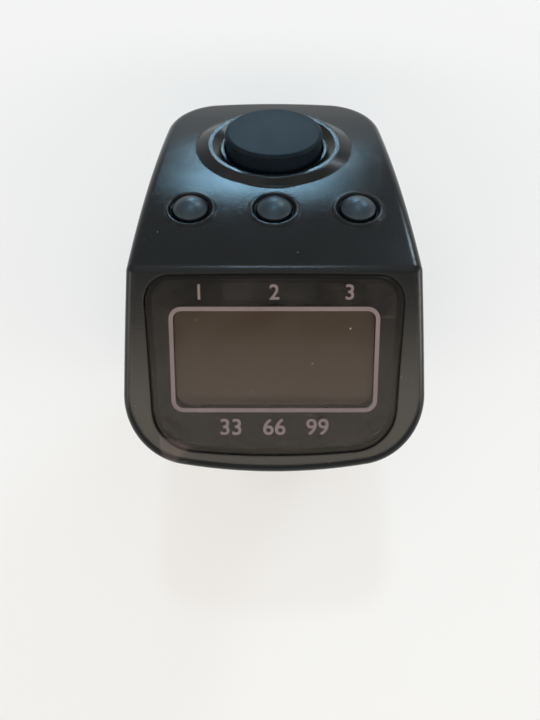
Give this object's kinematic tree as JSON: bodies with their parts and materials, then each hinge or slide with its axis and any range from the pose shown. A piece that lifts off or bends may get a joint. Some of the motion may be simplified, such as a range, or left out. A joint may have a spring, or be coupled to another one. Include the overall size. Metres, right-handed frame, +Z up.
{
  "type": "digital tasbih counter",
  "caption": "Finger-worn digital tasbih counter: wedge case with a large counting button, small keys, a sloped display window, a battery door and a silicone strap loop.",
  "frame": {"origin": "middle of the case outline, on the plane that the strap stands on", "axes": "+Z up, +Y towards the counting button, +X to the right facing the display"},
  "size_m": [0.0294, 0.0432, 0.0353],
  "materials": {
    "case_black": "satin grained black",
    "cap_black": "satin black",
    "window_dark": "polished smoked acrylic",
    "film_clear": "hazy clear film",
    "tape_black": "foam tape",
    "display_glass": "clear",
    "polariser_grey": "grey film",
    "guide_white": "milky",
    "lamp_white": "glossy",
    "zebra_grey": "matte",
    "board_green": "solder mask",
    "epoxy_black": "glossy",
    "steel": "bright",
    "chip_brown": "matte",
    "switch_black": "matte",
    "plunger_white": "matte",
    "cable_orange": "polyimide",
    "cell_can": "satin metal",
    "lead_red": "insulated wire",
    "strap_black": "matte silicone"
  },
  "bodies": {
    "case": {"top_shell": "case_black", "back_shell": "case_black", "count_switch": "switch_black", "small_switches": "switch_black", "switch_domes": "steel", "key_board": "board_green", "display_board": "board_green", "board_screws": "steel", "lens_panel": "window_dark", "lens_adhesive": "tape_black", "lens_film": "film_clear", "lcd_polariser": "polariser_grey", "lcd_front_glass": "display_glass", "lcd_rear_glass": "display_glass", "light_guide": "guide_white", "backlight_led": "lamp_white", "zebra_strip": "zebra_grey", "controller_blob": "epoxy_black", "clock_crystal": "steel", "chip_parts": "chip_brown", "board_link": "cable_orange", "coin_cell": "cell_can", "contact_carrier": "switch_black", "negative_contact": "steel", "positive_contact": "steel", "battery_leads": "lead_red", "case_screws": "steel", "strap_peg_side": "strap_black", "strap_hole_side": "strap_black", "strap_pins": "steel"},
    "count_key": {"count_button": "cap_black", "count_plunger": "plunger_white"},
    "reset_key": {"reset_button": "cap_black", "reset_plunger": "plunger_white"},
    "lock_key": {"lock_button": "cap_black", "lock_plunger": "plunger_white"},
    "light_key": {"light_button": "cap_black", "light_plunger": "plunger_white"},
    "door": {"battery_door": "case_black"}
  },
  "joints": [
    {"name": "count_press", "type": "slide", "parent": "case", "child": "count_key", "axis": [0, -0.5666, -0.824], "range_m": [0, 0.0008], "stiffness_N_per_m": 1500},
    {"name": "reset_press", "type": "slide", "parent": "case", "child": "reset_key", "axis": [0, -0.4526, -0.8917], "range_m": [0, 0.0005], "stiffness_N_per_m": 1200},
    {"name": "lock_press", "type": "slide", "parent": "case", "child": "lock_key", "axis": [0, -0.4526, -0.8917], "range_m": [0, 0.0005], "stiffness_N_per_m": 1200},
    {"name": "light_press", "type": "slide", "parent": "case", "child": "light_key", "axis": [0, -0.4526, -0.8917], "range_m": [0, 0.0005], "stiffness_N_per_m": 1200},
    {"name": "battery_door_twist", "type": "hinge", "parent": "case", "child": "door", "pos_m": [0, -0.0025, 0.017], "axis": [0, 0, -1], "range_deg": [0, 40]}
  ]
}
